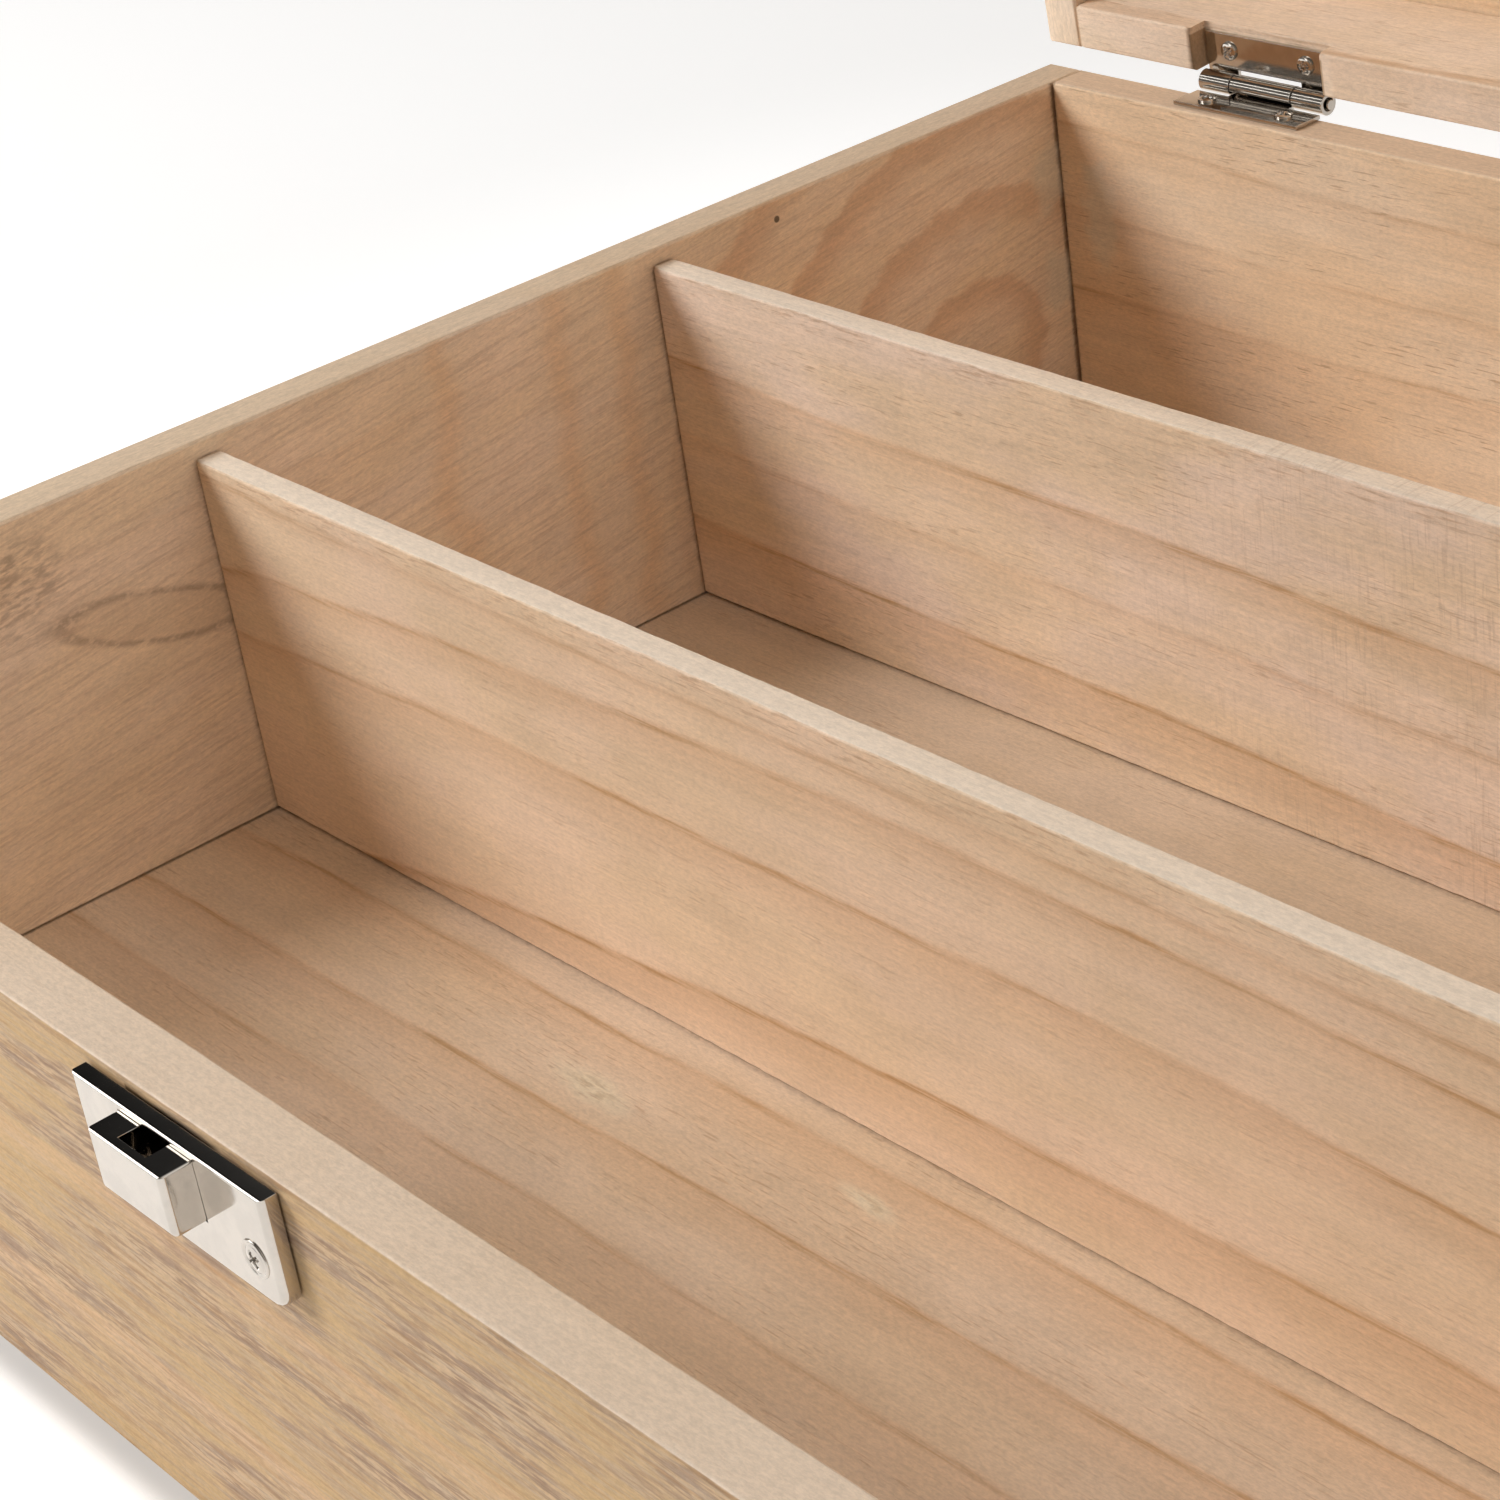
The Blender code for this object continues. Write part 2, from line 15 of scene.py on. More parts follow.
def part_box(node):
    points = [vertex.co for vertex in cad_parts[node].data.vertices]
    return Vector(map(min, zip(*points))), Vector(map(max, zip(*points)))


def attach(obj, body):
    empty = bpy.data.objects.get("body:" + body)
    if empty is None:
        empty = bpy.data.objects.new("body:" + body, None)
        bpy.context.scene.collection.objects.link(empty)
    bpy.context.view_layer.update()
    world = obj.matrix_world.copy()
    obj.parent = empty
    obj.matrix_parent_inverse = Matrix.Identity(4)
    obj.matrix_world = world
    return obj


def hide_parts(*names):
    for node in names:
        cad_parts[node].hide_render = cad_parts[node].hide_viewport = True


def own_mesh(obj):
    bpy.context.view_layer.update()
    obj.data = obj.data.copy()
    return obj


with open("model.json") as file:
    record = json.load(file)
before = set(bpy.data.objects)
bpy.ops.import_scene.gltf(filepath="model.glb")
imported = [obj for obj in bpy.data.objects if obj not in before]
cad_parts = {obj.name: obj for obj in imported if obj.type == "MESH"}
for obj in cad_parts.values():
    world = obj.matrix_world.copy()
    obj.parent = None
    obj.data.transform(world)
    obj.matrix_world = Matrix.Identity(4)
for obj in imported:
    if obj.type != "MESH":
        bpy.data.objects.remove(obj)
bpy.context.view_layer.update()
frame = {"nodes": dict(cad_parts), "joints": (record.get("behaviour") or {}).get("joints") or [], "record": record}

# --- Places from the frame ------------------------------------------------------------------------------

JOINTS = {joint["name"]: joint for joint in frame["joints"]}
BODY_OF = {node: body for body, nodes in frame["record"]["behaviour"]["bodies"].items() for node in nodes}
SLOT_OF = {part["node"]: part["material_slot"] for part in frame["record"]["subparts"]}

# The turn from closed to the open rest position, from which the joint's range is counted.
HINGE = Vector(JOINTS["lid_hinge"]["pos_m"])
LID_OPEN = (Matrix.Translation(HINGE)
            @ Matrix.Rotation(math.radians(min(JOINTS["lid_hinge"]["range_deg"])), 4, "X")
            @ Matrix.Translation(-HINGE))
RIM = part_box("base_left_side")[1].z
INSIDE_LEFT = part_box("base_left_side")[1].x
INSIDE_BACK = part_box("base_back")[0].y
FLOOR_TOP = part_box("floor_panel")[1].z
DIVIDERS = ("front_divider", "rear_divider")

# --- Sizes of the detailed pieces -----------------------------------------------------------------------

SAME = 1e-6                                 # two places nearer than this are one
NEAR = 1e-5                                 # the same for a sum of several distances
CORNER = 35                                 # degrees: an edge that turns more than this is a corner
BEVEL_WIDTH = 0.001                         # the rounding that a bevel weight of 1 stands for
BEVEL_SEGMENTS = 4

LONG_EDGE = 0.02                            # a board's edges longer than this are rounded and worn
BOARD_ROUNDING = 0.0004
BOARD_ROUNDING_REACH = 0.0005               # a point this close to two faces lies on a rounded edge
BOARD_WEAR = (0.004, 0.00015)               # the distance between cuts, the deepest wear
DIVIDER_WEAR = (0.0015, 0.00028)
WEAR_BUMPS = 380                            # uneven spots in a metre of edge

FLANGE = 0.0012                             # how far the button's flange stands out at its sides and bottom
FLANGE_SHEET = 0.0008
FLANGE_BELOW_TOP = 0.0003
SLOT_LENGTH = 0.0058
SLOT_WIDTH = 0.0032
SLOT_DEPTH = 0.0069
SLOT_FRONT_WALL = 0.0013
BUTTON_RISE = 0.00025                       # the top of the button and its window, above the CAD one
BUTTON_FRONT_TOP_RADIUS = 0.0004            # round the front face: its top edge
BUTTON_FRONT_RADIUS = 0.0008                # and its other three
BUTTON_SIDE_TOP_RADIUS = 0.0003             # on the edges that run back from its upper corners
BUTTON_SIDE_BOTTOM_RADIUS = 0.0005          # and from its lower ones
BUTTON_FAINT_RADIUS = 0.00008

WINDOW_GAP = 0.0003                         # round the button, in the plate
WINDOW_TIGHTER = 0.7                        # the share of that gap that the detailed plate closes
PLATE_OUTLINE_RADIUS = 0.0009
PLATE_MEETING_RADIUS = 0.0004               # where the latch plate and the catch plate meet
PLATE_FAINT_RADIUS = 0.00006
HINGE_EDGE_RADIUS = 0.00012

SCREW_HEAD_HEIGHT = 0.0007
SCREW_SHANK_RADIUS = 0.0009
SCREW_SHANK_LENGTH = 0.0055
SCREW_STRAIGHT_SHANK = 0.7                  # the share of the shank above its point
SCREW_SIDES = 40
SCREW_TURNS = (0.35, 1.1)                   # where the first screw's cross points, and each further turn
HINGE_SCREW_HEAD = (0.0004, SCREW_HEAD_HEIGHT)      # the height of a head's straight side, of its middle
PLATE_SCREW_HEAD = (0.00012, 0.00036)
# Outwards from the side of a screw's head: the share of its radius, the height.
HINGE_SCREW_RIM = ((0.97, 0.0), (1.0, -0.00015))    # above the top of its straight side
PRESSED_RING = ((1.0, 0.00002), (1.06, 0.00003), (1.14, 0.00014), (1.22, 0.00020), (1.30, 0.00017),
                (1.36, 0.00004))                    # in a plate, round its screw
HEAD_FOOT = -0.00005                        # the height of a head's foot, just under what it stands on
CROSS_WIDTH = 0.0005
CROSS_DEPTH = 0.0005
CROSS_WALL = 0.3                            # the share of its width that the slope of a side wall takes
CROSS_REACH = 0.00117                       # from its middle to the upper end of an arm
CROSS_END = 0.0002                          # the length of the slope at an arm's end


def closed_shape(node):
    """The CAD node's surface as plain faces, with the lid closed."""
    bm = bmesh.new()
    bm.from_mesh(frame["nodes"][node].data)
    if BODY_OF[node] == "lid":
        bm.transform(LID_OPEN.inverted())
    bmesh.ops.remove_doubles(bm, verts=bm.verts, dist=SAME)
    bmesh.ops.dissolve_limit(bm, angle_limit=math.radians(1), verts=bm.verts, edges=bm.edges)
    return bm


def closed_box(node):
    """The node's lowest and highest corners, with the lid closed."""
    bm = closed_shape(node)
    places = [vertex.co.copy() for vertex in bm.verts]
    bm.free()
    return tuple(Vector(pick(place[axis] for place in places) for axis in range(3)) for pick in (min, max))


# --- Building node trees --------------------------------------------------------------------------------

class Nodes:
    """A node tree. An input may be a number, a tuple or another node's output."""

    def __init__(self, tree):
        self.tree = tree

    def feed(self, socket, value):
        if isinstance(value, bpy.types.NodeSocket):
            self.tree.links.new(value, socket)
        else:
            socket.default_value = value

    def add(self, kind, *values, **settings):
        node = self.tree.nodes.new("ShaderNode" + kind)
        for name, value in settings.items():
            setattr(node, name, value)
        for socket, value in zip(node.inputs, values):
            self.feed(socket, value)
        return node

    def math(self, operation, *values):
        return self.add("Math", *values, operation=operation).outputs[0]

    def chain(self, operation, values):
        result = values[0]
        for value in values[1:]:
            result = self.math(operation, result, value)
        return result

    def times(self, *values):
        return self.chain("MULTIPLY", values)

    def total(self, *values):
        return self.chain("ADD", values)

    def minus(self, first, second):
        return self.math("SUBTRACT", first, second)

    def hypotenuse(self, u, v):
        return self.math("SQRT", self.total(self.times(u, u), self.times(v, v)))

    def scaled(self, vector, scale, offset=(0, 0, 0)):
        return self.add("VectorMath", vector, scale, offset, operation="MULTIPLY_ADD").outputs[0]

    def noise(self, vector, detail=2.0, roughness=0.5):
        node = self.add("TexNoise")
        self.feed(node.inputs["Vector"], vector)
        for name, value in (("Scale", 1.0), ("Detail", detail), ("Roughness", roughness)):
            node.inputs[name].default_value = value
        return node.outputs[0]

    def span(self, value, low, high, to_low=0.0, to_high=1.0):
        """A smooth step of value from low to high."""
        node = self.add("MapRange", interpolation_type="SMOOTHSTEP")
        for name, number in (("Value", value), ("From Min", low), ("From Max", high),
                             ("To Min", to_low), ("To Max", to_high)):
            self.feed(node.inputs[name], number)
        return node.outputs["Result"]

    def mix(self, factor, first, second, blend="MIX"):
        node = self.add("Mix", data_type="RGBA", blend_type=blend)
        self.feed(node.inputs[0], factor)
        for socket, value in ((node.inputs[6], first), (node.inputs[7], second)):
            self.feed(socket, (*value, 1.0) if isinstance(value, tuple) and len(value) == 3 else value)
        return node.outputs[2]


class Material(Nodes):
    """One material and its shader."""

    def __init__(self, name):
        self.material = bpy.data.materials.new(name)
        self.material.use_nodes = True
        super().__init__(self.material.node_tree)
        self.shader = self.tree.nodes["Principled BSDF"]

    def bump(self, height, strength, distance):
        node = self.add("Bump")
        node.inputs["Strength"].default_value = strength
        node.inputs["Distance"].default_value = distance
        self.feed(node.inputs["Height"], height)
        self.feed(self.shader.inputs["Normal"], node.outputs[0])


# --- Camera and light -----------------------------------------------------------------------------------

CAMERA_PLACE = (0.28284, -0.27788, 0.26921)
CAMERA_TURN = (61.619, 6.358, 46.486)       # degrees about X, Y and Z
CAMERA_LENS = 79.03
CAMERA_SHIFT = (-0.12, -0.04)

KEY_DIRECTION = (0.60, 0.57, -0.57)         # the way the key light shines
KEY_DISTANCE = 1.6
KEY_SIZE = 0.75
KEY_POWER = 18.5
SHEEN_SIZE = 0.9                            # a softer light in the same place, seen only in reflections
SHEEN_POWER = 6.0
GLINT_DIRECTION = (0.76, 0.47, -0.44)       # a small one close to the latch, for the shine on its edges
GLINT_DISTANCE = 0.35
GLINT_SIZE = 0.25
GLINT_POWER = 0.5
ROOM_GLOW = (((0, -1, 0.3), 0.17, (1, 0.93, 0.85)),     # soft walls: the way there, light, colour
             ((1, 0.4, 0.3), 0.46, (1, 0.93, 0.85)),
             ((0.45, 1, 0.3), 0.62, (1, 1, 1)))

FLOOR_RADIUS = 6.0
FLOOR_DROP = 0.0002                         # keeps the floor clear of the box's underside
FLOOR_WHITE = (0.88, 0.88, 0.88)
FLOOR_SHADED = (0.50, 0.49, 0.48)           # the painted contact shadow, where it touches the box
CONTACT_SHADE = 0.006                       # how far the painted contact shadow reaches round the box
CONTACT_GLOW = 0.4                          # the share of the floor's glow that is left there
FLOOR_GLOW = 0.24
FLOOR_GLOW_NEARBY = 0.50                    # painted light: makes up for the light that the box keeps from the floor
NEARBY = (0.02, 0.25)                       # it fades out between these distances


def add_camera():
    data = bpy.data.cameras.new("camera")
    data.lens = CAMERA_LENS
    data.sensor_width = 36.0
    data.shift_x, data.shift_y = CAMERA_SHIFT
    data.clip_start = 0.01
    camera = bpy.data.objects.new("camera", data)
    camera.location = CAMERA_PLACE
    camera.rotation_euler = [math.radians(angle) for angle in CAMERA_TURN]
    bpy.context.scene.collection.objects.link(camera)
    bpy.context.scene.camera = camera


def add_area_light(name, direction, distance, size, power, target=(0, 0, 0)):
    data = bpy.data.lights.new(name, "AREA")
    data.shape = "DISK"
    data.size = size
    data.energy = power
    light = bpy.data.objects.new(name, data)
    way = Vector(direction).normalized()
    light.location = Vector(target) - way * distance
    light.rotation_euler = way.to_track_quat("-Z", "Y").to_euler()
    bpy.context.scene.collection.objects.link(light)
    return light


def add_lights():
    """The key light and the sheen light share one place, so that wood and metal can be lit apart."""
    key = add_area_light("key", KEY_DIRECTION, KEY_DISTANCE, KEY_SIZE, KEY_POWER)
    key.visible_glossy = False
    sheen = add_area_light("sheen", KEY_DIRECTION, KEY_DISTANCE, SHEEN_SIZE, SHEEN_POWER)
    sheen.visible_diffuse = False
    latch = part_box("latch_button")[0]
    glint = add_area_light("glint", GLINT_DIRECTION, GLINT_DISTANCE, GLINT_SIZE, GLINT_POWER, latch)
    glint.visible_diffuse = False


def add_world():
    """A dark room with soft walls of unequal brightness."""
    world = bpy.data.worlds.new("studio")
    world.use_nodes = True
    bpy.context.scene.world = world
    n = Nodes(world.node_tree)
    n.tree.nodes.remove(n.tree.nodes["Background"])
    place = n.add("TexCoord").outputs["Generated"]
    room = None
    for way, light, colour in ROOM_GLOW:
        facing = n.add("VectorMath", place, Vector(way).normalized(), operation="DOT_PRODUCT")
        glow = n.span(facing.outputs["Value"], 0.0, 1.0, 0.0, light)
        wall = n.add("Background", (*colour, 1), glow).outputs[0]
        room = wall if room is None else n.add("AddShader", room, wall).outputs[0]
    n.feed(n.tree.nodes["World Output"].inputs["Surface"], room)


def floor_material():
    """White and glowing a little, more so near the box as painted light, and darker in a narrow band round the
    box's foot as a painted contact shadow.
    """
    n = Material("floor_white")
    place = n.add("SeparateXYZ", n.add("TexCoord").outputs["Object"]).outputs
    half_box = (-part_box("base_left_side")[0].x, -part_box("base_front")[0].y)
    beyond = [n.math("MAXIMUM", n.minus(n.math("ABSOLUTE", place[k]), half_box[k]), 0.0) for k in range(2)]
    away = n.hypotenuse(*beyond)
    open_floor = n.span(away, 0.0, CONTACT_SHADE)
    glow = n.times(n.span(away, *NEARBY, FLOOR_GLOW_NEARBY, FLOOR_GLOW),
                   n.span(open_floor, 0.0, 1.0, CONTACT_GLOW, 1.0))
    n.feed(n.shader.inputs["Base Color"], n.mix(open_floor, FLOOR_SHADED, FLOOR_WHITE))
    n.feed(n.shader.inputs["Emission Strength"], glow)
    n.shader.inputs["Emission Color"].default_value = (1, 1, 1, 1)
    n.shader.inputs["Roughness"].default_value = 0.9
    n.shader.inputs["Specular IOR Level"].default_value = 0.1
    return n.material


def add_floor():
    mesh = bpy.data.meshes.new("floor")
    bm = bmesh.new()
    bmesh.ops.create_circle(bm, cap_ends=True, segments=96, radius=FLOOR_RADIUS)
    bm.to_mesh(mesh)
    bm.free()
    mesh.materials.append(floor_material())
    floor = bpy.data.objects.new("floor", mesh)
    floor.location.z = -FLOOR_DROP
    bpy.context.scene.collection.objects.link(floor)


# --- Wood -----------------------------------------------------------------------------------------------

PALE = (0.84, 0.665, 0.515)
YELLOW = (0.82, 0.635, 0.45)
WARM = (0.72, 0.47, 0.285)
LATE = (0.52, 0.295, 0.13)
PORE = (0.53, 0.34, 0.20)
CREAM = (0.92, 0.79, 0.65)
# the darkest colour of the joints, where dirt and painted shade lie
JOINT_DIRT_AND_SHADE = (0.24, 0.145, 0.08)
GREY = (0.45, 0.35, 0.26)
GLUE = (0.80, 0.72, 0.58)
END_GRAIN = (0.62, 0.43, 0.27)
END_PORE = (0.33, 0.21, 0.12)
FRAYED = (0.56, 0.36, 0.22)
SAW_MARK = (0.58, 0.42, 0.30)
NOTCH_SHADE = (0.45, 0.28, 0.15)
NAIL = (0.12, 0.08, 0.05)

FRONT_RIM = (0.98, 0.86, 0.72)
FRONT_TAN = (0.555, 0.37, 0.185)
FRONT_DULL = (0.575, 0.405, 0.255)
FRONT_TORN = (0.33, 0.215, 0.145)
FRONT_TORN_DEEP = (0.29, 0.175, 0.105)
FRONT_BROWN = (0.42, 0.245, 0.115)
BACK_RIM = (0.71, 0.54, 0.40)
SIDE_RIM = (0.72, 0.56, 0.40)
SIDE_ARC = (0.66, 0.40, 0.23)
SIDE_BAND = (0.80, 0.50, 0.26)
SIDE_STREAK = (0.62, 0.45, 0.32)
KNOT_INSIDE = (0.60, 0.44, 0.30)
KNOT_OUTLINE = (0.30, 0.19, 0.12)
STAIN = (0.33, 0.23, 0.16)
EYE_PALE = (0.85, 0.75, 0.57)
EYE_FLECK = (0.60, 0.46, 0.30)

RAGGED = 700                                # uneven spots in a metre of a joint's painted dirt and shade
NOTCH_SIDE_GAP = 0.0007                     # beside a hinge, in the lid's back board

ALONG_X_UPRIGHT = "XZY"      # the axes along, across and through a front, back or divider board
ALONG_Y_UPRIGHT = "YZX"      # a side board
ALONG_X_FLAT = "XYZ"         # a panel


class Wood(Material):
    """The material of one board. Its own axes run along, across and through the grain. Whatever is painted
    covers what is there already."""

    def __init__(self, node, order, seed, pale=PALE, yellow=YELLOW, lean=0.0):
        super().__init__(f"{node}_wood")
        self.seed = seed
        self.grains = {}
        self.own = (seed * 3.7, seed * 7.1, seed * 5.3)     # no two boards are cut from the same place
        split = self.add("SeparateXYZ", self.add("TexCoord").outputs["Object"]).outputs
        self.along, self.across, self.through = (split["XYZ".index(axis)] for axis in order)
        leaning = self.minus(self.across, self.times(self.along, lean))
        self.place = self.add("CombineXYZ", self.along, leaning, self.through).outputs[0]
        self.wave = self.total(self.centred(self.grain(0.09, 0.05), 0.005),
                               self.centred(self.grain(0.014, 0.008), 0.0012),
                               self.centred(self.grain(0.004, 0.001), 0.0005))
        self.low, self.high = ([corner["XYZ".index(axis)] for axis in order] for corner in closed_box(node))
        self.colour = self.mix(self.patches(0.05, 0.022, 0.36, 0.64), pale, yellow)
        self.cloud(0.018, 0.010, 0.95, 1.05)

    # Measures

    def centred(self, value, amount):
        return self.times(self.minus(value, 0.5), amount)

    def distance(self, value, at):
        return self.math("ABSOLUTE", self.minus(value, at))

    def grain(self, length, width, detail=2.0, roughness=0.5):
        """Noise whose marks are this long and wide, in metres."""
        key = (length, width, detail, roughness)
        if key not in self.grains:
            scaled = self.scaled(self.place, (1 / length, 1 / width, 1 / width), self.own)
            self.grains[key] = self.noise(scaled, detail, roughness)
        return self.grains[key]

    def patches(self, length, width, low, high, faint=0.0, full=1.0):
        return self.span(self.grain(length, width, 3, 0.55), low, high, faint, full)

    def radius(self, centre, length, width, tilt=0.0, ragged=0.0):
        """1 on the rim of an oval of this half length and half width, with an uneven outline."""
        right = self.minus(self.along, centre[0])
        up = self.minus(self.across, centre[1])
        turn = math.radians(tilt)
        u = self.total(self.times(right, math.cos(turn) / length), self.times(up, math.sin(turn) / length))
        v = self.total(self.times(up, math.cos(turn) / width), self.times(right, -math.sin(turn) / width))
        return self.total(self.hypotenuse(u, v), self.centred(self.grain(0.006, 0.004, 3), ragged))

    # Paint

    def paint(self, mask, colour):
        self.colour = self.mix(mask, self.colour, colour)

    def tint(self, tone):
        grey = self.add("CombineColor", tone, tone, tone).outputs[0]
        self.colour = self.mix(1.0, self.colour, grey, "MULTIPLY")

    def cloud(self, length, width, low, high):
        self.tint(self.span(self.grain(length, width, 3, 0.6), 0.25, 0.75, low, high))

    def rings(self, pith, spacing, line=0.3, halo=0.25):
        """Growth rings round a pith that lies this far across and through the board."""
        away = self.minus(self.total(self.across, self.times(self.wave, 2.5)), pith[0])
        deep = self.minus(self.through, pith[1])
        years = self.math("DIVIDE", self.hypotenuse(away, deep), spacing)
        share = self.math("FRACT", years)
        year = self.add("TexWhiteNoise", noise_dimensions="1D")
        self.feed(year.inputs["W"], self.total(self.math("FLOOR", years), float(self.seed)))
        strength = self.span(year.outputs["Value"], 0.0, 1.0, 0.3, 1.0)
        closing = self.span(share, 0.97, 1.0, 1.0, 0.0)
        self.paint(self.times(self.span(share, 0.4, 0.97), closing, strength, halo), WARM)
        self.paint(self.times(self.span(share, 0.90, 0.97), closing, strength, line,
                              self.patches(0.03, 0.003, 0.38, 0.6)), LATE)

    def late_wood(self, at, rise=0.0, bend=0.0, strength=0.75, soft=0.008, mask=1.0):
        """A line of late wood this far across the board, soft below and sharper above."""
        level = self.total(at, self.times(self.along, rise), self.times(self.along, self.along, bend))
        above = self.minus(self.total(self.across, self.wave), level)
        broken = self.patches(0.025, 0.0025, 0.36, 0.62, 0.15, 1.0)
        fibres = self.span(self.grain(0.012, 0.0004, 2, 0.6), 0.35, 0.6, 0.25, 1.0)
        band = self.times(self.span(above, -soft, 0.0), self.span(above, 0.0, 0.0014, 1.0, 0.0))
        thin = self.times(self.span(above, -0.0011, -0.0001), self.span(above, 0.0001, 0.0009, 1.0, 0.0))
        self.paint(self.times(band, 0.6 * strength, mask), WARM)
        self.paint(self.times(thin, broken, fibres, strength, mask), LATE)

    def pores(self, amount, length=0.0045):
        """Short open pores lying with the grain."""
        zone = self.patches(0.05, 0.008, 0.42, 0.62)
        pore = self.span(self.grain(length, 0.00035, 1, 0.4), 0.60, 0.70)
        self.paint(self.times(pore, zone, amount), PORE)

    def streaks(self, colour, amount, length, width, low, high, mask=1.0):
        streak = self.span(self.grain(length, width, 3, 0.6), low, high)
        self.paint(self.times(streak, amount, mask), colour)

    def seam(self, value, at, width=0.0005, strength=0.6, colour=JOINT_DIRT_AND_SHADE, mask=1.0):
        """Painted dirt and shade in the joint where value equals at."""
        ragged = self.centred(self.noise(self.scaled(self.place, (RAGGED, RAGGED, RAGGED)), 3, 0.6), width)
        gap = self.total(self.distance(value, at), ragged)
        self.paint(self.times(self.span(gap, 0.0, width, 1.0, 0.0), strength, mask), colour)

    def divider_joints(self, mask):
        """Dark lines of painted shade and dirt where the dividers' ends meet a side board."""
        for node in DIVIDERS:
            low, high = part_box(node)
            below = self.span(self.across, high.z - 0.0002, high.z + 0.0004, 1.0, 0.0)
            self.seam(self.along, (low.y + high.y) / 2, (high.y - low.y) / 2 + 0.0009, 0.75,
                      mask=self.times(mask, below))

    def face(self, value, at, colour, amount=1.0, depth=0.0003, within=1.0):
        """Paints the face that lies where value equals at, and returns its mask."""
        mask = self.times(self.span(self.distance(value, at), depth * 0.5, depth, amount, 0.0), within)
        self.paint(mask, colour)
        return mask

    def blot(self, radius, inner, outer, amount):
        """A mask that is full within an oval and fades out round its rim."""
        return self.span(radius, inner, outer, amount, 0.0)

    def end_grain(self):
        """Darker open pores on the two sawn ends."""
        middle = (self.low[0] + self.high[0]) / 2
        from_end = self.minus((self.high[0] - self.low[0]) / 2, self.distance(self.along, middle))
        mask = self.span(from_end, 0.00015, 0.00035, 1.0, 0.0)
        pores = self.noise(self.scaled(self.place, (500, 1600, 900)), 2, 0.6)
        self.paint(self.times(mask, 0.75), END_GRAIN)
        self.paint(self.times(mask, self.span(pores, 0.55, 0.7), 0.6), END_PORE)

    def finish(self, streak=0.04, fuzz=0.09):
        """Adds the finest fibres and hands over the material."""
        self.end_grain()
        streaks = self.span(self.grain(0.035, 0.0011, 3, 0.65), 0.25, 0.75, 1 - streak, 1 + streak)
        fibres = self.span(self.grain(0.009, 0.00028, 2, 0.6), 0.2, 0.8, 1 - streak * 0.7, 1 + streak * 0.7)
        nap = self.span(self.grain(0.0013, 0.0005, 3, 0.8), 0.3, 0.7, 1 - fuzz, 1 + fuzz)
        self.tint(self.times(streaks, fibres, nap))
        self.feed(self.shader.inputs["Base Color"], self.colour)
        self.feed(self.shader.inputs["Roughness"], self.span(fibres, 0.95, 1.05, 0.74, 0.62))
        self.shader.inputs["Specular IOR Level"].default_value = 0.3
        self.bump(self.total(self.times(fibres, 0.5), self.times(nap, 0.5)), 0.35, 0.0005)
        return self.material


def front_board():
    """Cream inside. Outside it is tan, with brown and grey fibres torn up in patches."""
    wood = Wood("base_front", ALONG_X_UPRIGHT, 1, pale=CREAM)
    wood.pores(0.4, length=0.007)
    wood.face(wood.across, RIM, FRONT_RIM, 0.7)
    outside = wood.face(wood.through, wood.low[2], FRONT_TAN)
    wood.paint(wood.times(outside, wood.patches(0.05, 0.010, 0.40, 0.62, 0.0, 0.8)), FRONT_DULL)
    worn = wood.times(outside, wood.patches(0.05, 0.010, 0.40, 0.60))
    wood.streaks(FRONT_TORN, 0.85, 0.009, 0.0009, 0.46, 0.60, worn)
    wood.streaks(FRONT_TORN_DEEP, 0.7, 0.006, 0.0005, 0.50, 0.60, worn)
    wood.streaks(GREY, 0.35, 0.010, 0.0006, 0.48, 0.60, outside)
    wood.streaks(FRONT_BROWN, 0.5, 0.020, 0.0012, 0.54, 0.64, outside)
    for height, rise in ((0.0475, 0.0), (0.0220, 0.005)):
        wood.late_wood(height, rise, strength=0.55, soft=0.006, mask=outside)
    # Darker lines along the rim and along the bottom edge, drawn as joints: painted shade and dirt; the lower one
    # is the shade under the rounded bottom edge.
    wood.seam(wood.across, RIM, 0.0007, 0.35, LATE)
    wood.seam(wood.across, wood.low[1], 0.0009, 0.4, LATE)
    return wood.finish(0.03)


def back_board():
    wood = Wood("base_back", ALONG_X_UPRIGHT, 2, pale=(0.88, 0.69, 0.50), yellow=(0.86, 0.64, 0.43))
    wood.late_wood(0.0545, -0.05, strength=0.4)
    wood.late_wood(0.0250, -0.02, strength=0.5, soft=0.012)
    wood.late_wood(0.0400, -0.03, strength=0.3)
    wood.pores(0.7, length=0.005)
    wood.face(wood.across, RIM, BACK_RIM, 0.8)
    corner_glue = wood.radius((wood.low[0] + 0.010, 0.045), 0.005, 0.012, ragged=1.2)
    wood.paint(wood.blot(corner_glue, 0.4, 1.2, 0.7), GLUE)
    # Painted shade and dirt in the corner with the left board and along the floor.
    wood.seam(wood.along, INSIDE_LEFT, 0.0010, 0.9)
    wood.seam(wood.across, FLOOR_TOP)
    return wood.finish(0.05)


def paint_curved_figure(wood, mask):
    """Wide arcs towards the back of the left board, and three soft upright bands."""
    share = wood.math("FRACT", wood.radius((0.118, 0.022), 0.0200, 0.0167, 12, 0.35))
    arcs = wood.times(wood.span(share, 0.35, 0.85), wood.span(share, 0.88, 1.0, 1.0, 0.0),
                      wood.span(wood.along, 0.030, 0.060), mask)
    wood.paint(wood.times(arcs, 0.55), SIDE_ARC)
    for place in (-0.004, 0.020, 0.034):
        off = wood.total(wood.minus(wood.along, place), wood.centred(wood.grain(0.03, 0.012), 0.012))
        wood.paint(wood.span(wood.math("ABSOLUTE", off), 0.0, 0.0045, 0.35, 0.0), SIDE_BAND)


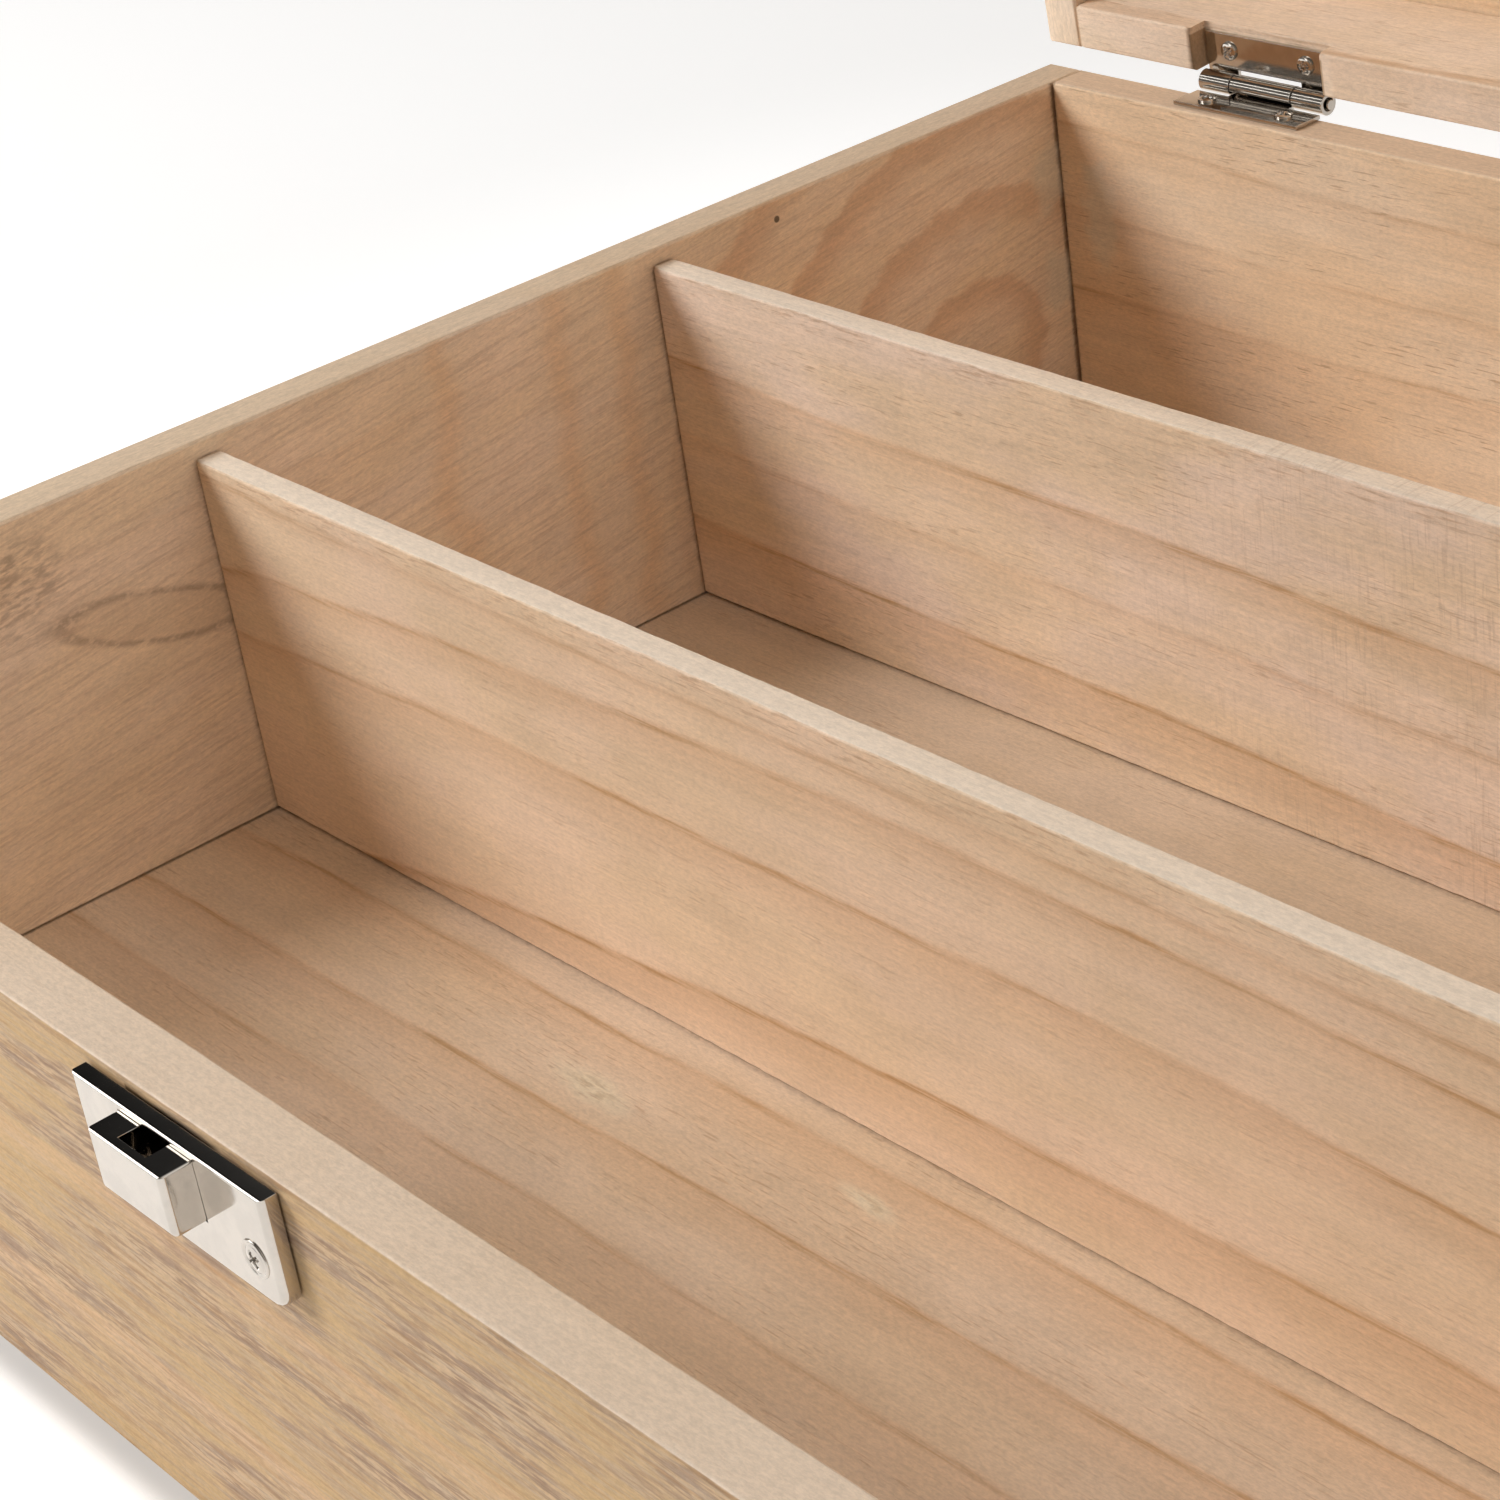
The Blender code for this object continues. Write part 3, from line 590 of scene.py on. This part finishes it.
def paint_marks(wood, mask):
    """The left board's oval knot, the stain under its rim and a nail head."""
    knot = wood.radius((-0.0630, 0.0445), 0.0170, 0.0042, -16, 0.22)
    outline = wood.times(wood.span(knot, 0.80, 0.98), wood.span(knot, 1.02, 1.25, 1.0, 0.0),
                         wood.patches(0.002, 0.0012, 0.30, 0.55, 0.25, 1.0))
    wood.paint(wood.times(wood.blot(knot, 0.8, 1.1, 0.30), mask), KNOT_INSIDE)
    wood.paint(wood.times(outline, 0.55, mask), KNOT_OUTLINE)
    stain = wood.blot(wood.radius((-0.0860, 0.0590), 0.0120, 0.0110, ragged=1.6), 0.3, 1.1, 1.0)
    wood.paint(wood.times(stain, wood.patches(0.003, 0.0009, 0.40, 0.62), 0.55, mask), STAIN)
    nail = wood.radius((0.0730, 0.0660), 0.0007, 0.0007, ragged=0.3)
    wood.paint(wood.times(wood.blot(nail, 0.7, 1.1, 0.9), mask), NAIL)


def left_board():
    # Its pale and yellow are lighter than the other boards': partly its own tone, partly painted light standing in
    # for fill light on its shaded inner face.
    wood = Wood("base_left_side", ALONG_Y_UPRIGHT, 3, pale=(0.90, 0.73, 0.58), yellow=(0.88, 0.70, 0.51),
                lean=0.14)
    wood.rings((0.02, -0.19), 0.017, 0.12, 0.12)
    inside = wood.span(wood.through, wood.high[2] - 0.0004, wood.high[2] - 0.0002)
    paint_curved_figure(wood, inside)
    paint_marks(wood, inside)
    wood.streaks(SIDE_STREAK, 0.35, 0.010, 0.0007, 0.50, 0.62)
    wood.face(wood.across, RIM, SIDE_RIM, 0.8)
    # Painted shade and dirt where the dividers, the back board and the floor meet this board.
    wood.divider_joints(inside)
    wood.seam(wood.along, INSIDE_BACK, 0.0011, 0.9, mask=inside)
    wood.seam(wood.across, FLOOR_TOP, 0.0006)
    for height in (0.030, 0.052):
        smear = wood.radius((INSIDE_BACK - 0.003, height), 0.0050, 0.0080, ragged=1.2)
        wood.paint(wood.times(wood.blot(smear, 0.4, 1.2, 0.6), inside), GLUE)
    return wood.finish(0.05)


def right_board():
    wood = Wood("base_right_side", ALONG_Y_UPRIGHT, 4)
    wood.rings((0.05, 0.20), 0.012, 0.5, 0.3)
    wood.pores(0.4)
    wood.face(wood.across, RIM, CREAM, 0.4)
    # Painted shade and dirt where the dividers and the floor meet this board.
    wood.divider_joints(wood.span(wood.through, wood.low[2] + 0.0002, wood.low[2] + 0.0004, 1.0, 0.0))
    wood.seam(wood.across, FLOOR_TOP)
    return wood.finish()


def divider(node, seed, pale, lines, pores):
    """A thin board with a frayed top edge. Each line of late wood is given by its height, rise, bend,
    strength and softness."""
    wood = Wood(node, ALONG_X_UPRIGHT, seed, pale=pale)
    for line in lines:
        wood.late_wood(*line)
    wood.pores(pores)
    frayed = wood.span(wood.across, wood.high[1] - 0.006, wood.high[1] - 0.001)
    wood.streaks(FRAYED, 0.6, 0.006, 0.0006, 0.52, 0.66, frayed)
    wood.face(wood.across, wood.high[1], CREAM, 0.9)
    # Painted shade and dirt at both ends and along the floor.
    for end in (wood.low[0], wood.high[0]):
        wood.seam(wood.along, end, 0.0007)
    wood.seam(wood.across, FLOOR_TOP)
    return wood


def front_divider():
    lines = ((0.0565, 0.002, -0.30, 0.75, 0.007),
             (0.0405, -0.010, -0.20, 0.75, 0.010),
             (0.0620, -0.015, 0.0, 0.4, 0.004),
             # The lowest line is a wide, strong warm band: partly late wood, partly painted shade that darkens the
             # divider towards the bottom.
             (0.0145, 0.045, -0.30, 0.95, 0.012))
    return divider("front_divider", 5, (0.86, 0.665, 0.50), lines, 0.3).finish()


def rear_divider():
    """The saw's marks show on it, and fade out towards its left end."""
    lines = ((0.0450, -0.032, 0.0, 0.75, 0.008),
             (0.0125, -0.035, 0.0, 0.9, 0.012),
             (0.0300, -0.030, 0.0, 0.35, 0.006))
    wood = divider("rear_divider", 6, (0.85, 0.675, 0.54), lines, 0.5)
    sawn = wood.times(wood.span(wood.along, -0.10, 0.02), wood.patches(0.02, 0.02, 0.35, 0.6))
    across_grain = wood.noise(wood.scaled(wood.place, (1700, 110, 110)), 2, 0.6)
    wood.paint(wood.times(wood.span(across_grain, 0.52, 0.66), sawn, 0.35), SAW_MARK)
    return wood.finish(0.06)


def floor_board():
    """Lines of late wood run from left to right, and two pale eyes lie in the front compartment."""
    wood = Wood("floor_panel", ALONG_X_FLAT, 7, pale=(0.80, 0.63, 0.475), yellow=(0.78, 0.60, 0.425))
    lines = ((-0.0560, 0.010, 0.75), (-0.0735, 0.020, 0.75), (-0.0900, 0.010, 0.5), (-0.1080, 0.020, 0.6),
             (-0.1260, 0.0, 0.5), (-0.0200, 0.01, 0.4), (0.0020, 0.0, 0.5), (0.0240, -0.01, 0.4),
             (0.0700, 0.01, 0.5), (0.1000, 0.0, 0.5))
    for at, rise, strength in lines:
        wood.late_wood(at, rise, strength=strength, soft=0.010)
    eyes = (((-0.0523, -0.0682), 0.0090, 0.0027), ((0.0003, -0.0616), 0.0060, 0.0016))
    for centre, length, width in eyes:
        eye = wood.radius(centre, length, width, -6, 0.9)
        wood.paint(wood.blot(eye, 0.3, 1.4, 0.8), EYE_PALE)
        flecks = wood.times(wood.blot(eye, 0.2, 1.0, 1.0), wood.patches(0.003, 0.0006, 0.45, 0.62))
        wood.paint(wood.times(flecks, 0.6), EYE_FLECK)
    wood.pores(0.5)
    # Painted shade and dirt along the left board and under the dividers.
    wood.seam(wood.along, INSIDE_LEFT, 0.0006)
    for node in DIVIDERS:
        low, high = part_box(node)
        wood.seam(wood.across, (low.y + high.y) / 2, (high.y - low.y) / 2 + 0.0005)
    return wood.finish()


def lid_panel():
    wood = Wood("lid_panel", ALONG_X_FLAT, 8, pale=(0.82, 0.60, 0.40), yellow=(0.80, 0.57, 0.36))
    wood.rings((0.10, 0.20), 0.016, 0.5, 0.4)
    wood.pores(0.6)
    return wood.finish(0.05)


def shade_notches(wood):
    """Darkens the side walls of the two notches that the hinges' upper leaves lie in."""
    for leaf in ("left_hinge_upper_leaf", "right_hinge_upper_leaf"):
        low, high = closed_box(leaf)
        notch = wood.times(wood.span(wood.across, high.z, high.z + 0.0002, 1.0, 0.0),
                           wood.span(wood.through, low.y - 0.0003, low.y))
        for end in (low.x - NOTCH_SIDE_GAP, high.x + NOTCH_SIDE_GAP):
            wood.face(wood.along, end, NOTCH_SHADE, 0.8, 0.0005, notch)


def lid_board(node, order, seed, pith):
    wood = Wood(node, order, seed, pale=(0.88, 0.72, 0.58), yellow=(0.86, 0.69, 0.52))
    wood.rings(pith, 0.012, 0.45, 0.3)
    wood.pores(0.5, length=0.006)
    if node == "lid_back":
        shade_notches(wood)
    return wood.finish(0.05)


# --- Metal ----------------------------------------------------------------------------------------------

def metal(name, colour, roughness, spread):
    """Plated metal with faint handling marks."""
    n = Material(name)
    place = n.add("TexCoord").outputs["Object"]
    marks = n.noise(n.scaled(place, (260, 260, 260)), 3, 0.6)
    scratches = n.noise(n.scaled(place, (400, 5000, 5000)), 2, 0.5)
    darker = tuple(value * 0.92 for value in colour)
    n.shader.inputs["Metallic"].default_value = 1.0
    n.feed(n.shader.inputs["Base Color"], n.mix(n.span(marks, 0.35, 0.65), darker, colour))
    rough = n.total(n.span(marks, 0.3, 0.7, roughness - spread, roughness + spread),
                    n.span(scratches, 0.6, 0.8, 0.0, spread))
    n.feed(n.shader.inputs["Roughness"], rough)
    n.bump(marks, 0.02, 0.0001)
    return n.material


NICKEL = metal("nickel_plate", (0.61, 0.565, 0.51), 0.10, 0.025)
SPRING_STEEL = metal("spring_steel", (0.55, 0.55, 0.56), 0.30, 0.06)


# --- Pieces ---------------------------------------------------------------------------------------------

def stand_for(node, mesh, material):
    """Shows this mesh, drawn with the lid closed, in place of a CAD node."""
    body = BODY_OF[node]
    mesh.materials.clear()
    mesh.materials.append(material)
    piece = bpy.data.objects.new(f"{node}_detail", mesh)
    bpy.context.scene.collection.objects.link(piece)
    if body == "lid":
        piece.matrix_world = LID_OPEN
    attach(piece, body)
    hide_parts(node)
    if "bevel_weight_edge" in mesh.attributes:
        bevel = piece.modifiers.new("Rounded edges", "BEVEL")
        bevel.limit_method = "WEIGHT"
        bevel.width = BEVEL_WIDTH
        bevel.segments = BEVEL_SEGMENTS
        bevel.use_clamp_overlap = False
        bevel.loop_slide = False
    weighted = piece.modifiers.new("Even shading", "WEIGHTED_NORMAL")
    weighted.keep_sharp = True
    return piece


def finished(bm, name, corner=CORNER):
    """The shape as a smooth mesh that is sharp at its corners, apart from those that are rounded."""
    bmesh.ops.recalc_face_normals(bm, faces=bm.faces)
    mesh = bpy.data.meshes.new(name)
    bm.to_mesh(mesh)
    bm.free()
    mesh.shade_smooth()
    mesh.set_sharp_from_angle(angle=math.radians(corner))
    weights = mesh.attributes.get("bevel_weight_edge")
    for edge, weight in zip(mesh.edges, weights.data if weights else ()):
        edge.use_edge_sharp = edge.use_edge_sharp and weight.value == 0
    return mesh


def turns(edge, degrees):
    return edge.is_manifold and math.degrees(edge.calc_face_angle()) > degrees


def round_edges(bm, radius_of):
    """Gives every outer corner edge the radius that radius_of returns for it."""
    bm.normal_update()
    bm.edges.index_update()
    radii = {edge.index: radius_of(edge) for edge in bm.edges if turns(edge, CORNER) and edge.is_convex}
    weights = bm.edges.layers.float.new("bevel_weight_edge")
    for edge in bm.edges:
        edge[weights] = radii.get(edge.index, 0.0) / BEVEL_WIDTH


def worn_board(node, step, wear):
    """A board whose long edges are broken unevenly: it is cut across every step, and the points of the
    rounded edges are pushed in by up to this much."""
    bm = closed_shape(node)
    low, high = closed_box(node)
    edges = [e for e in bm.edges if turns(e, 60) and e.is_convex and e.calc_length() > LONG_EDGE]
    bmesh.ops.bevel(bm, geom=edges, offset=BOARD_ROUNDING, segments=2, profile=0.5, affect="EDGES",
                    clamp_overlap=True)
    axis = max(range(3), key=lambda k: high[k] - low[k])
    normal = Vector((0, 0, 0))
    normal[axis] = 1.0
    for cut in range(1, int((high[axis] - low[axis]) / step)):
        bmesh.ops.bisect_plane(bm, geom=bm.verts[:] + bm.edges[:] + bm.faces[:],
                               plane_co=low + normal * (cut * step), plane_no=normal)
    middle = (low + high) / 2
    for vertex in bm.verts:
        inset = [min(vertex.co[k] - low[k], high[k] - vertex.co[k]) for k in range(3)]
        if sum(depth < BOARD_ROUNDING_REACH for depth in inset) < 2:
            continue
        for k in range(3):
            if k != axis and SAME < inset[k] < BOARD_ROUNDING_REACH:
                spot = vertex.co * WEAR_BUMPS + Vector((7.0 * k, 0, 0))     # each axis has its own wear
                push = 0.5 + 0.5 * noise.noise(spot)
                vertex.co[k] += math.copysign(wear * push, middle[k] - vertex.co[k])
    return finished(bm, node, 40)


def add_boards():
    materials = {
        "base_front": front_board(),
        "base_back": back_board(),
        "base_left_side": left_board(),
        "base_right_side": right_board(),
        "front_divider": front_divider(),
        "rear_divider": rear_divider(),
        "floor_panel": floor_board(),
        "lid_panel": lid_panel(),
        "lid_front": lid_board("lid_front", ALONG_X_UPRIGHT, 9, (0.12, -0.20)),
        "lid_back": lid_board("lid_back", ALONG_X_UPRIGHT, 10, (0.06, 0.19)),
        "lid_left_side": lid_board("lid_left_side", ALONG_Y_UPRIGHT, 11, (0.05, -0.20)),
        "lid_right_side": lid_board("lid_right_side", ALONG_Y_UPRIGHT, 12, (0.15, 0.20)),
    }
    for node, material in materials.items():
        step, wear = DIVIDER_WEAR if node in DIVIDERS else BOARD_WEAR
        stand_for(node, worn_board(node, step, wear), material)


def tighten_window(bm):
    """Brings the sides of the latch plate's window closer to the button."""
    low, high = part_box("latch_button")
    sides = {"x": (low.x + FLANGE, high.x - FLANGE), "z": (low.z + FLANGE, high.z)}
    reach = WINDOW_GAP + NEAR

    def nearest(vertex, axis):
        return min(sides[axis], key=lambda at: abs(getattr(vertex.co, axis) - at))

    for vertex in bm.verts:
        x, z = nearest(vertex, "x"), nearest(vertex, "z")
        if abs(vertex.co.x - x) < reach and abs(vertex.co.z - z) < reach:
            vertex.co.x += (x - vertex.co.x) * WINDOW_TIGHTER
            vertex.co.z += (z - vertex.co.z) * WINDOW_TIGHTER
            if z == high.z:
                vertex.co.z += BUTTON_RISE


def plate(node, meeting_edge):
    """A latch or catch plate: rounded all round its front, less so along the edge at the height where the
    two plates meet."""
    bm = closed_shape(node)
    if node == "latch_plate":
        tighten_window(bm)
    front = min(vertex.co.y for vertex in bm.verts)
    in_front = {e for e in bm.edges
                if turns(e, CORNER) and all(abs(v.co.y - front) < SAME for v in e.verts)}
    outline, reached = set(), {max((v for e in in_front for v in e.verts), key=lambda v: v.co.x)}
    while reached:
        touching = {e for v in reached for e in v.link_edges if e in in_front} - outline
        outline |= touching
        reached = {v for e in touching for v in e.verts} - reached

    def radius_of(edge):
        if edge not in outline:
            return PLATE_FAINT_RADIUS
        meeting = all(abs(v.co.z - meeting_edge) < SAME for v in edge.verts)
        return PLATE_MEETING_RADIUS if meeting else PLATE_OUTLINE_RADIUS

    round_edges(bm, radius_of)
    return finished(bm, node)


def button():
    """A block with a slot sunk in its top, standing on a thin flange."""
    low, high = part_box("latch_button")
    left, right = low.x + FLANGE, high.x - FLANGE
    bottom, top = low.z + FLANGE, high.z + BUTTON_RISE
    flange_front = high.y - FLANGE_SHEET
    bm = bmesh.new()

    def ring(x0, x1, y0, y1, z):
        return [bm.verts.new(corner) for corner in ((x0, y0, z), (x1, y0, z), (x1, y1, z), (x0, y1, z))]

    def wall(lower, upper):
        for k in range(4):
            bm.faces.new((lower[k], lower[k - 3], upper[k - 3], upper[k]))

    block = (left, right, low.y, high.y - FLANGE_SHEET / 2)
    middle, slot_y = (left + right) / 2, low.y + SLOT_FRONT_WALL
    slot = (middle - SLOT_LENGTH / 2, middle + SLOT_LENGTH / 2, slot_y, slot_y + SLOT_WIDTH)
    under, over = ring(*block, bottom), ring(*block, top)
    mouth, pit = ring(*slot, top), ring(*slot, high.z - SLOT_DEPTH)
    bm.faces.new(reversed(under))
    bm.faces.new(pit)
    wall(under, over)
    wall(over, mouth)
    wall(mouth, pit)
    lower = ring(low.x, high.x, flange_front, high.y, low.z)
    upper = ring(low.x, high.x, flange_front, high.y, high.z - FLANGE_BELOW_TOP)
    bm.faces.new(reversed(lower))
    bm.faces.new(upper)
    wall(lower, upper)

    def radius_of(edge):
        a, b = (vertex.co for vertex in edge.verts)
        if max(a.y, b.y) < low.y + SAME:
            return BUTTON_FRONT_TOP_RADIUS if min(a.z, b.z) > bottom + SAME else BUTTON_FRONT_RADIUS
        sideways = min(abs(a.x - left), abs(a.x - right))
        if abs(a.x - b.x) + abs(a.z - b.z) + sideways < NEAR:
            return BUTTON_SIDE_TOP_RADIUS if a.z > bottom + SAME else BUTTON_SIDE_BOTTOM_RADIUS
        return BUTTON_FAINT_RADIUS

    round_edges(bm, radius_of)
    return finished(bm, "latch_button")


def screw_profile(radius, side, top, in_plate):
    """Distances from the axis and heights, from near the middle of the head outwards and down the shank."""
    shares = [0.05 * k for k in range(1, 13)] + [0.60 + 0.08 * k for k in range(1, 5)]
    profile = [(radius * share, side + (top - side) * (1 - share ** 2)) for share in shares]
    if in_plate:
        profile += [(radius * share, height) for share, height in PRESSED_RING]
    else:
        profile += [(radius * share, side + height) for share, height in HINGE_SCREW_RIM]
    return profile + [(profile[-1][0], HEAD_FOOT), (SCREW_SHANK_RADIUS, HEAD_FOOT),
                      (SCREW_SHANK_RADIUS, -SCREW_SHANK_LENGTH * SCREW_STRAIGHT_SHANK)]


def cross_depth(x, y):
    """How deep the cross is sunk at this place on a screw's head."""
    nearest, farthest = sorted((abs(x), abs(y)))
    wall = CROSS_WIDTH * CROSS_WALL
    across = max(0.0, min(1.0, ((CROSS_WIDTH + wall) / 2 - nearest) / wall))
    along = max(0.0, min(1.0, (CROSS_REACH - farthest) / CROSS_END))
    return CROSS_DEPTH * across * along


def screw(node, outward, turn):
    """A cross-head screw. A hinge's screws have a domed head with a straight side. A plate's are low, and
    the plate is pressed in round them."""
    low, high = closed_box(node)
    size = high - low
    seat = (low + high) / 2 + outward * (size.dot(Vector(map(abs, outward))) / 2 - SCREW_HEAD_HEIGHT)
    in_plate = "hinge" not in node
    side, top = PLATE_SCREW_HEAD if in_plate else HINGE_SCREW_HEAD
    bm = bmesh.new()
    rings = []
    for radius, z in screw_profile(min(size) / 2, side, top, in_plate):
        ring = []
        for k in range(SCREW_SIDES):
            angle = 2 * math.pi * k / SCREW_SIDES
            x, y = radius * math.cos(angle), radius * math.sin(angle)
            ring.append(bm.verts.new((x, y, z - cross_depth(x, y) if z > 0 else z)))
        rings.append(ring)
    for inner, outer in zip(rings, rings[1:]):
        for k in range(SCREW_SIDES):
            bm.faces.new((inner[k - 1], outer[k - 1], outer[k], inner[k]))
    centre = bm.verts.new((0, 0, top - CROSS_DEPTH))
    tip = bm.verts.new((0, 0, -SCREW_SHANK_LENGTH))
    for k in range(SCREW_SIDES):
        bm.faces.new((centre, rings[0][k - 1], rings[0][k]))
        bm.faces.new((tip, rings[-1][k], rings[-1][k - 1]))
    turned = Vector((0, 0, 1)).rotation_difference(outward).to_matrix().to_4x4()
    bm.transform(Matrix.Translation(seat) @ turned @ Matrix.Rotation(turn, 4, "Z"))
    return finished(bm, node, 50)


def add_screws():
    first, further = SCREW_TURNS
    for number, node in enumerate(node for node in SLOT_OF if "screw" in node):
        outward = (0, 0, 1 if "lower" in node else -1) if "hinge" in node else (0, -1, 0)
        stand_for(node, screw(node, Vector(outward), first + further * number), NICKEL)


def add_hinges():
    """The leaves and pins keep their CAD shape, with rounded edges."""
    for node in SLOT_OF:
        if "hinge" in node and "screw" not in node:
            bm = closed_shape(node)
            round_edges(bm, lambda edge: HINGE_EDGE_RADIUS)
            stand_for(node, finished(bm, node), NICKEL)


def add_spring():
    """The spring behind the button, with a mesh of its own."""
    mesh = finished(closed_shape("latch_spring"), "latch_spring", 80)
    spring = stand_for("latch_spring", mesh, SPRING_STEEL)
    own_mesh(spring)


add_camera()
add_lights()
add_world()
add_floor()
bpy.context.scene.view_settings.view_transform = "Standard"
add_boards()
add_screws()
stand_for("latch_plate", plate("latch_plate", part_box("latch_plate")[1].z), NICKEL)
stand_for("catch_plate", plate("catch_plate", closed_box("catch_plate")[0].z), NICKEL)
stand_for("latch_button", button(), NICKEL)
add_hinges()
add_spring()
